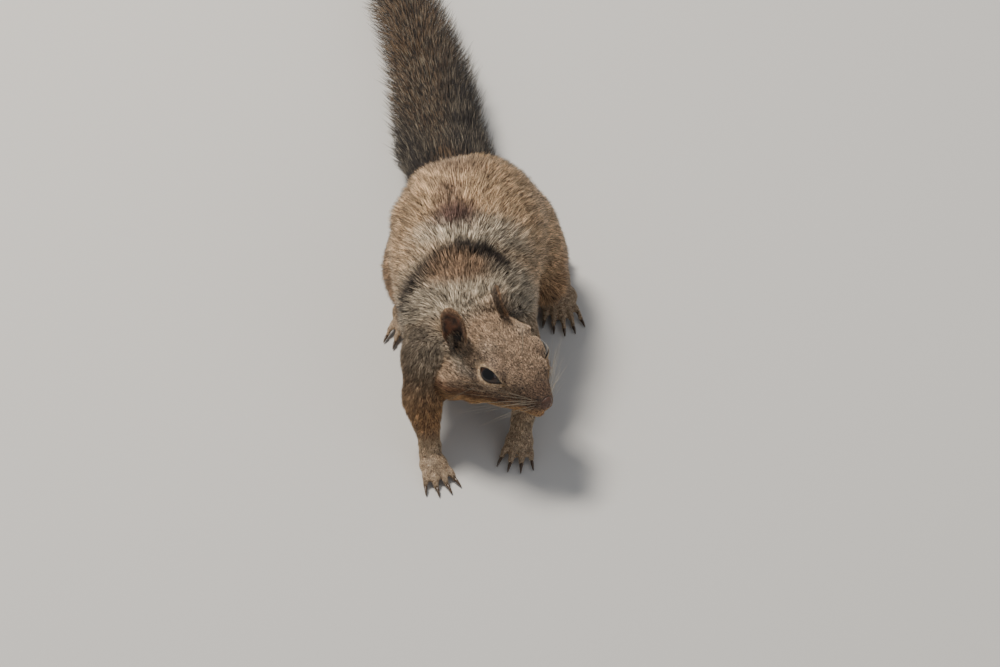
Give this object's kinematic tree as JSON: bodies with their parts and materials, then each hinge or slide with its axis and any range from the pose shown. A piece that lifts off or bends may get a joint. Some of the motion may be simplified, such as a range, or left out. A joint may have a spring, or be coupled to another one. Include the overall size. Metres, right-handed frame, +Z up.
{
  "type": "squirrel model",
  "caption": "Life-size still model of a bushy-tailed ground squirrel, standing crouched with its head turned and its tail laid out.",
  "frame": {"origin": "on the floor, under the middle of the animal's bounding box", "axes": "+Z up, the tail runs to +Y and the animal walks towards -Y, so its left side is +X"},
  "size_m": [0.1124, 0.3956, 0.082],
  "materials": {
    "coat": "short dense fur, grizzled grey-brown to buff",
    "tail_coat": "long coarse fur, mixed black, grey and buff with a pale fringe",
    "foot_coat": "very short pale buff fur",
    "ear_skin": "thin skin with short fine hair",
    "eye_gloss": "wet gloss, very dark brown",
    "nose_leather": "fine-grained moist skin",
    "claw_horn": "satin dark horn"
  },
  "bodies": {
    "root": {"head": "coat", "neck": "coat", "trunk": "coat", "foreleg_right": "coat", "foreleg_left": "coat", "hindleg_right": "coat", "hindleg_left": "coat", "tail_base": "tail_coat", "tail_middle": "tail_coat", "tail_tip": "tail_coat", "forefoot_right": "foot_coat", "forefoot_left": "foot_coat", "hindfoot_right": "foot_coat", "hindfoot_left": "foot_coat", "ear_left": "ear_skin", "ear_right": "ear_skin", "eye_left": "eye_gloss", "eye_right": "eye_gloss", "nose": "nose_leather", "claw_forefoot_right_1": "claw_horn", "claw_forefoot_right_2": "claw_horn", "claw_forefoot_right_3": "claw_horn", "claw_forefoot_right_4": "claw_horn", "claw_forefoot_left_1": "claw_horn", "claw_forefoot_left_2": "claw_horn", "claw_forefoot_left_3": "claw_horn", "claw_forefoot_left_4": "claw_horn", "claw_hindfoot_right_1": "claw_horn", "claw_hindfoot_right_2": "claw_horn", "claw_hindfoot_right_3": "claw_horn", "claw_hindfoot_right_4": "claw_horn", "claw_hindfoot_right_5": "claw_horn", "claw_hindfoot_left_1": "claw_horn", "claw_hindfoot_left_2": "claw_horn", "claw_hindfoot_left_3": "claw_horn", "claw_hindfoot_left_4": "claw_horn", "claw_hindfoot_left_5": "claw_horn"}
  },
  "joints": []
}
